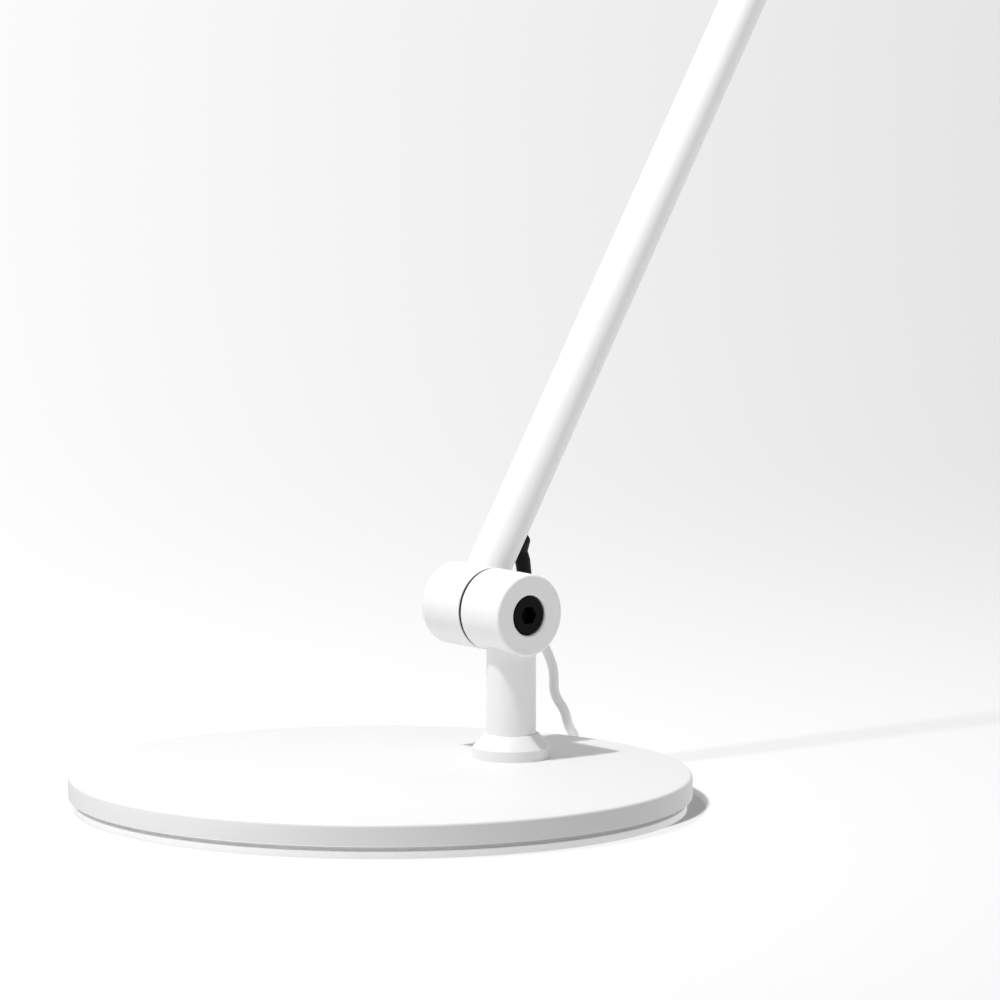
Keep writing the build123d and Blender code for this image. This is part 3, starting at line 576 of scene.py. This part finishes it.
# %% Moulded finishes
milky = {"Subsurface Weight": 0.3, "Subsurface Radius": (0.004, 0.004, 0.004),
         "Subsurface Scale": 1.0}
acetal = finish("white_acetal", "#F2F2F0", "#EBEBE9", rough=0.4, grain_mm=0.6, bump_mm=0.004,
                patch_mm=6.0)
abs_black = finish("textured_black_abs", "#1C1C1D", "#131314", rough=0.55, grain_mm=0.35, bump_mm=0.012,
                   patch_mm=6.0)
switch_plastic = finish("gloss_grey_abs", "#D2D2D2", "#C8C8C8", rough=0.25, grain_mm=1.5, bump_mm=0.002,
                        patch_mm=10.0)
opal = finish("opal_acrylic", "#F7F6F2", "#F1F0EB", rough=0.35, grain_mm=2.0, bump_mm=0.002,
              patch_mm=25.0, shader=milky)
solder_mask = finish("white_solder_mask", "#F2F2F0", "#E8E8E5", rough=0.4, grain_mm=1.0, bump_mm=0.003,
                     patch_mm=10.0)
phosphor = finish("yellow_phosphor", "#F0CF5A", "#E6BE3E", rough=0.35, grain_mm=0.4, bump_mm=0.004,
                  patch_mm=1.5)
print("finishes", len(bpy.data.materials), "in all")

# %% [markdown]
# Each solid then takes the finish of its own slot, and each new piece the finish of the slot it shares.

# %% Finishes on the pieces
slot_finish = {
    "white_steel": powder_coat, "white_alloy": powder_coat, "black_screw": black_oxide,
    "bright_steel": zinc_plate, "bare_alloy": bare_casting, "pale_rubber": foam_pad,
    "black_rubber": black_vinyl, "friction_fibre": fibre, "grey_lead": grey_vinyl,
    "tie_grey": woven_strap, "black_plastic": abs_black, "switch_grey": switch_plastic,
    "white_acetal": acetal, "opal": opal, "board_white": solder_mask, "emitter": phosphor,
    "plug_nickel": nickel_plate,
}
piece_slot = {entry["node"]: entry["material_slot"] for entry in frame["record"]["subparts"]}
for name, node in frame["nodes"].items():
    node.data.materials.clear()
    node.data.materials.append(slot_finish[piece_slot[name]])
new_pieces = [(lead, "grey_lead") for lead in leads.values()]
new_pieces += [(strap, "tie_grey"), (plug, "black_plastic"), (disc, "white_steel")]
for piece, slot in new_pieces:
    piece.data.materials.append(slot_finish[slot])
print("dressed", len(frame["nodes"]), "solids and", len(new_pieces), "new pieces")

# %% [markdown]
# The lamp stands on a white sweep, as in a studio: a sheet that is flat under the lamp and curves
# up far behind it, so that no line of horizon shows. It is a wide dish, flat and then a quarter
# circle, so it does the same in every view.

# %% Sweep
sweep_flat = 16.0
sweep_curve = 3.0


def sweep_points(around=96):
    """Dish (r cos v, r sin v, h): h = 0 on the flat, then r and h follow a quarter circle."""
    quarter = np.linspace(0.05, pi / 2, 20)
    flat = np.concatenate([np.linspace(0.02, 1.0, 30), np.linspace(1.2, sweep_flat, 40)])
    radial = np.concatenate([flat, sweep_flat + sweep_curve * np.sin(quarter)])[:, None]
    rise = np.concatenate([np.zeros(len(flat)), sweep_curve * (1 - np.cos(quarter))])[:, None]
    turn = np.arange(around) * 2 * pi / around
    return np.stack([radial * np.cos(turn), radial * np.sin(turn), rise + 0 * turn], -1)


sweep_grid = sweep_points()
sweep_faces = grid_faces(*sweep_grid.shape[:2])[:-1]
sweep = mesh_piece("white_sweep", sweep_grid.reshape(-1, 3), sweep_faces)
print("sweep", len(sweep.data.polygons), "faces")

# %% [markdown]
# The sweep glows from below, like a light table: the picture's floor is close to pure white and takes
# almost no shadow. Its glow falls off in a fan towards the right and the rear, as the picture's
# background does, and the fan spreads from a fixed point on the floor, so it stays put in every view.
# Under the base a shadow is painted on the card: a disc of darker glow, set off to the right and
# rear, stands in for the base's shadow. The picture's floor looks whitened, so the light that the card
# gives to the rim is set apart from the white that is seen: more at the front left of the base, less
# at its front right.

# %% Glow of the sweep
fan_distance = 4.95
fan_point = view_right * aim_right - view_level * fan_distance
fan_spread = 0.036
loss_left, loss_right = -0.01, -0.19
depth_near, depth_far = fan_distance + 0.05, fan_distance + 0.95
near_share = 0.45
seen_white, given_white = 0.855, 0.85
# Painted shadow: a disc of darker seen glow under the base, set off to its right and rear.
painted_shadow_centre = view_right * 13.0 * MM + view_level * 14.0 * MM
painted_shadow_radius = 105.5 * MM
painted_shadow_edge = 1.0 * MM
painted_shadow_level = 0.25
swing_reach = 0.01
swing_less, swing_more = -0.54, 0.24
swing_full, swing_gone = 0.17, 0.26

card = bpy.data.materials.new("glowing_white_card")
card.use_nodes = True
tree = card.node_tree
tree.nodes.clear()
place = add(tree, "ShaderNodeTexCoord").outputs["Object"]
away = add(tree, "ShaderNodeVectorMath", {"operation": "SUBTRACT"}, {1: fan_point}, {0: place})
rightward, ahead = (
    add(tree, "ShaderNodeVectorMath", {"operation": "DOT_PRODUCT"}, {1: toward},
        {0: away.outputs["Vector"]})
    for toward in (view_right, view_level))
bearing = add(tree, "ShaderNodeMath", {"operation": "DIVIDE"},
              links={0: rightward.outputs["Value"], 1: ahead.outputs["Value"]})
loss = add(tree, "ShaderNodeMapRange", {},
           {"From Min": -fan_spread, "From Max": fan_spread, "To Min": loss_left, "To Max": loss_right},
           {"Value": bearing.outputs["Value"]})
depth = add(tree, "ShaderNodeMapRange", {"interpolation_type": "SMOOTHSTEP"},
            {"From Min": depth_near, "From Max": depth_far, "To Min": near_share, "To Max": 1.0},
            {"Value": ahead.outputs["Value"]})
glow = add(tree, "ShaderNodeMath", {"operation": "MULTIPLY_ADD"}, {2: seen_white},
           {0: loss.outputs["Result"], 1: depth.outputs["Result"]})
# The painted shadow's disc darkens the glow that camera rays see, and only that.
from_shade = add(tree, "ShaderNodeVectorMath", {"operation": "DISTANCE"}, {1: painted_shadow_centre}, {0: place})
shade = add(tree, "ShaderNodeMapRange", {"interpolation_type": "SMOOTHSTEP"},
            {"From Min": painted_shadow_radius - painted_shadow_edge, "From Max": painted_shadow_radius + painted_shadow_edge,
             "To Min": painted_shadow_level, "To Max": 1.0},
            {"Value": from_shade.outputs["Value"]})
seen = add(tree, "ShaderNodeMath", {"operation": "MULTIPLY"},
           links={0: glow.outputs["Value"], 1: shade.outputs["Result"]})
across, behind = (
    add(tree, "ShaderNodeVectorMath", {"operation": "DOT_PRODUCT"}, {1: toward}, {0: place})
    for toward in (view_right, view_level))
quarter = add(tree, "ShaderNodeMath", {"operation": "MULTIPLY"},
              links={0: across.outputs["Value"], 1: behind.outputs["Value"]})
swing = add(tree, "ShaderNodeMapRange", {},
            {"From Min": -swing_reach, "From Max": swing_reach, "To Min": swing_less,
             "To Max": swing_more},
            {"Value": quarter.outputs["Value"]})
from_middle = add(tree, "ShaderNodeVectorMath", {"operation": "LENGTH"}, links={0: place})
near = add(tree, "ShaderNodeMapRange", {"interpolation_type": "SMOOTHSTEP"},
           {"From Min": swing_full, "From Max": swing_gone, "To Min": 1.0, "To Max": 0.0},
           {"Value": from_middle.outputs["Value"]})
given = add(tree, "ShaderNodeMath", {"operation": "MULTIPLY_ADD"}, {2: given_white},
            {0: swing.outputs["Result"], 1: near.outputs["Result"]})
ray = add(tree, "ShaderNodeLightPath")
strength = add(tree, "ShaderNodeMix", {"data_type": "FLOAT"},
               links={0: ray.outputs["Is Camera Ray"], 2: given.outputs["Value"],
                      3: seen.outputs["Value"]})
surface = add(tree, "ShaderNodeBsdfPrincipled",
              values={"Base Color": colour("#707070"), "Roughness": 0.9,
                      "Emission Color": (1, 1, 1, 1)},
              links={"Emission Strength": strength.outputs[0]})
add(tree, "ShaderNodeOutputMaterial", links={"Surface": surface.outputs["BSDF"]})
sweep.data.materials.append(card)
print("card", len(tree.nodes), "nodes")

# %% [markdown]
# Most of the lamp is lit by a white room that is brighter above and behind on the left, where a
# window would be. The room's light runs from dark, away from the window, to bright, facing it.

# %% Room
window_behind, window_left, window_above = 0.2, 0.36, 0.75
dark_facing, bright_facing = -0.55, 1.0
room_bright = 0.72

world = bpy.data.worlds.new("white_room")
bpy.context.scene.world = world
world.use_nodes = True
tree = world.node_tree
window = (view_level * window_behind - view_right * window_left
          + Vector((0, 0, window_above))).normalized()
sky = add(tree, "ShaderNodeTexCoord").outputs["Generated"]
facing = add(tree, "ShaderNodeVectorMath", {"operation": "DOT_PRODUCT"}, {1: window}, {0: sky})
room = add(tree, "ShaderNodeMapRange", {},
           {"From Min": dark_facing, "From Max": bright_facing, "To Min": 0.0, "To Max": room_bright},
           {"Value": facing.outputs["Value"]})
tree.nodes["Background"].inputs["Color"].default_value = colour("#FFFFFF")
tree.links.new(room.outputs["Result"], tree.nodes["Background"].inputs["Strength"])
print("room", room_bright, "at its brightest")

# %% [markdown]
# The shadows in the picture come from one small studio light over the front of the base, about
# seventy degrees up. How much longer a shadow is than its piece tells the light's height, some two
# thirds of a metre. The head and upper arm would hang close in its way, so this one light neither
# meets nor lights them. A wider disc, farther up on the same line, lights those pieces alone.

# %% Studio discs
key_aim = Vector((0.0, 0.02, 0.0126))
key_offset = Vector((-0.029, -0.198, 0.64))
head_light_times = 2.25
bodies = frame["record"]["behaviour"]["bodies"]
above_elbow = bodies["upper_arm"] + bodies["head"] + bodies["switch"]


def studio_disc(name, size, energy, offset):
    """Round area light at an offset from the point that both lights are aimed at."""
    data = bpy.data.lights.new(name, "AREA")
    data.shape = "DISK"
    data.size = size
    data.energy = energy
    made = bpy.data.objects.new(name, data)
    made.location = key_aim + offset
    made.rotation_euler = (-offset).to_track_quat("-Z", "Y").to_euler()
    made.visible_camera = False
    bpy.context.scene.collection.objects.link(made)
    return made


def linked_pieces(name, state):
    """Collection of the pieces above the elbow, each with one state of light linking."""
    pieces = bpy.data.collections.new(name)
    for node in above_elbow:
        pieces.objects.link(frame["nodes"][node])
    for item in pieces.collection_objects:
        item.light_linking.link_state = state
    return pieces


key = studio_disc("key_disc", size=28.0 * MM, energy=3.2, offset=key_offset)
clear_of_key = linked_pieces("clear_of_key", "EXCLUDE")
key.light_linking.blocker_collection = clear_of_key
key.light_linking.receiver_collection = clear_of_key
head_light = studio_disc("head_disc", size=120.0 * MM, energy=5.6, offset=key_offset * head_light_times)
head_light.light_linking.receiver_collection = linked_pieces("lit_by_head_disc", "INCLUDE")
bpy.context.scene.view_settings.view_transform = "Standard"
print("lights", [(light.name, round(light.data.energy, 1)) for light in (key, head_light)])
